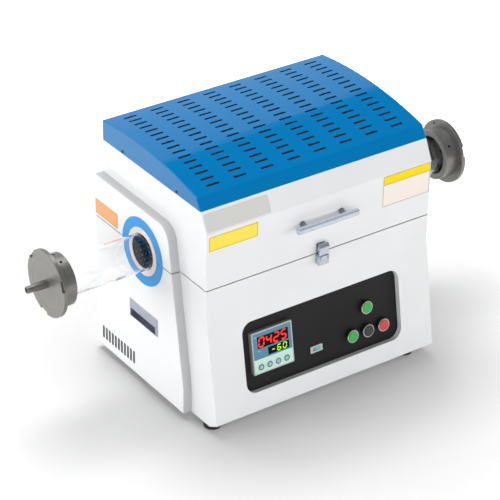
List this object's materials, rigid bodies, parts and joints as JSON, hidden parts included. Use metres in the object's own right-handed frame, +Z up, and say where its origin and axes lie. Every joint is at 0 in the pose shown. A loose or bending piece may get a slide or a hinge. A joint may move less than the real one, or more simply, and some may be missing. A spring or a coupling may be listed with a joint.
{
  "type": "tube furnace",
  "caption": "Split-hinge laboratory tube furnace with a clear quartz tube, steel end flanges, a white case, a blue slotted lid cover and a sloping control panel.",
  "frame": {"origin": "on the table, under the middle of the quartz tube, half-way between the foremost and rearmost points", "axes": "+X along the tube, to the right as seen from the front; +Y to the back; +Z up"},
  "size_m": [1.112, 0.4372, 0.5552],
  "materials": {
    "white_enamel": "gloss",
    "blue_enamel": "gloss",
    "zinc_sheet": "satin",
    "black_enamel": "satin",
    "fibre_board": "matte",
    "ceramic_collar": "matte",
    "heating_rod": "matte",
    "clear_quartz": "polished",
    "flange_steel": "satin",
    "dark_steel": "satin",
    "seal_rubber": "matte",
    "latch_chrome": "polished",
    "hinge_steel": "satin",
    "handle_metal": "satin",
    "dark_post": "satin",
    "meter_grey": "satin",
    "black_plastic": "satin",
    "mint_key": "satin",
    "button_green": "gloss",
    "button_black": "gloss",
    "button_red": "gloss",
    "bright_rim": "polished",
    "sheath_steel": "satin"
  },
  "bodies": {
    "base": {"base_case": "white_enamel", "base_deck": "zinc_sheet", "left_lower_side_cover": "white_enamel", "right_lower_side_cover": "white_enamel", "flush_pull_handles": "latch_chrome", "lower_port_rings": "blue_enamel", "lower_collars": "ceramic_collar", "lower_insulation": "fibre_board", "lower_heater": "heating_rod", "lower_liner": "zinc_sheet", "control_panel": "black_enamel", "controller_bezel": "meter_grey", "controller_case": "black_plastic", "button_housings": "black_plastic", "button_rims": "bright_rim", "button_contact_blocks": "black_plastic", "data_port": "bright_rim", "latch_plate": "latch_chrome", "lower_hinge_leaves": "hinge_steel", "hinge_pins": "dark_steel", "rear_plate": "white_enamel", "cable_gland": "black_plastic", "rubber_feet": "seal_rubber", "thermocouple": "sheath_steel", "relay_heat_sink": "bright_rim", "power_relay": "black_plastic"},
    "lid": {"latch_keeper": "latch_chrome", "upper_hinge_leaves": "hinge_steel", "lid_case": "white_enamel", "lid_deck": "zinc_sheet", "top_cover": "blue_enamel", "top_cover_screws": "dark_steel", "left_upper_side_cover": "white_enamel", "right_upper_side_cover": "white_enamel", "upper_port_rings": "blue_enamel", "upper_collars": "ceramic_collar", "upper_insulation": "fibre_board", "upper_heater": "heating_rod", "upper_liner": "zinc_sheet", "lid_handle_bar": "handle_metal", "lid_handle_posts": "dark_post"},
    "tube_assembly": {"quartz_tube": "clear_quartz", "left_flange_hub": "flange_steel", "right_flange_hub": "flange_steel", "left_flange_plate": "flange_steel", "right_flange_plate": "flange_steel", "flange_seals": "seal_rubber", "gas_nozzles": "flange_steel", "flange_set_screws": "dark_steel"},
    "latch_lever": {"latch_lever": "latch_chrome"},
    "latch_claw": {"latch_claw": "latch_chrome"},
    "top_green_button": {"top_green_button": "button_green"},
    "left_green_button": {"left_green_button": "button_green"},
    "middle_black_button": {"middle_black_button": "button_black"},
    "right_red_button": {"right_red_button": "button_red"},
    "controller_key_1": {"controller_key_1": "mint_key"},
    "controller_key_2": {"controller_key_2": "mint_key"},
    "controller_key_3": {"controller_key_3": "mint_key"},
    "controller_key_4": {"controller_key_4": "mint_key"}
  },
  "joints": [
    {"name": "lid_hinge", "type": "hinge", "parent": "base", "child": "lid", "pos_m": [0.02, 0.21309, 0.331], "axis": [-1, 0, 0], "range_deg": [0, 85]},
    {"name": "tube_slide", "type": "slide", "parent": "base", "child": "tube_assembly", "axis": [1, 0, 0], "range_m": [-0.145, 0.185]},
    {"name": "latch_lever_swing", "type": "hinge", "parent": "base", "child": "latch_lever", "pos_m": [0.02, -0.17991, 0.3265], "axis": [-1, 0, 0], "range_deg": [0, 90]},
    {"name": "latch_claw_swing", "type": "hinge", "parent": "latch_lever", "child": "latch_claw", "pos_m": [0.02, -0.18491, 0.322], "axis": [-1, 0, 0], "range_deg": [-90, 0]},
    {"name": "top_green_push", "type": "slide", "parent": "base", "child": "top_green_button", "axis": [0, 0.9848, -0.1736], "range_m": [0, 0.0025], "stiffness_N_per_m": 1200, "springref_m": -0.0006},
    {"name": "left_green_push", "type": "slide", "parent": "base", "child": "left_green_button", "axis": [0, 0.9848, -0.1736], "range_m": [0, 0.0025], "stiffness_N_per_m": 1200, "springref_m": -0.0006},
    {"name": "middle_black_push", "type": "slide", "parent": "base", "child": "middle_black_button", "axis": [0, 0.9848, -0.1736], "range_m": [0, 0.0025], "stiffness_N_per_m": 1200, "springref_m": -0.0006},
    {"name": "right_red_push", "type": "slide", "parent": "base", "child": "right_red_button", "axis": [0, 0.9848, -0.1736], "range_m": [0, 0.0025], "stiffness_N_per_m": 1200, "springref_m": -0.0006},
    {"name": "key_1_push", "type": "slide", "parent": "base", "child": "controller_key_1", "axis": [0, 0.9848, -0.1736], "range_m": [0, 0.0008], "stiffness_N_per_m": 1500, "springref_m": -0.0003},
    {"name": "key_2_push", "type": "slide", "parent": "base", "child": "controller_key_2", "axis": [0, 0.9848, -0.1736], "range_m": [0, 0.0008], "stiffness_N_per_m": 1500, "springref_m": -0.0003},
    {"name": "key_3_push", "type": "slide", "parent": "base", "child": "controller_key_3", "axis": [0, 0.9848, -0.1736], "range_m": [0, 0.0008], "stiffness_N_per_m": 1500, "springref_m": -0.0003},
    {"name": "key_4_push", "type": "slide", "parent": "base", "child": "controller_key_4", "axis": [0, 0.9848, -0.1736], "range_m": [0, 0.0008], "stiffness_N_per_m": 1500, "springref_m": -0.0003}
  ],
  "couplings": [
    {"joint": "latch_claw_swing", "follows": "latch_lever_swing", "ratio": -1}
  ]
}
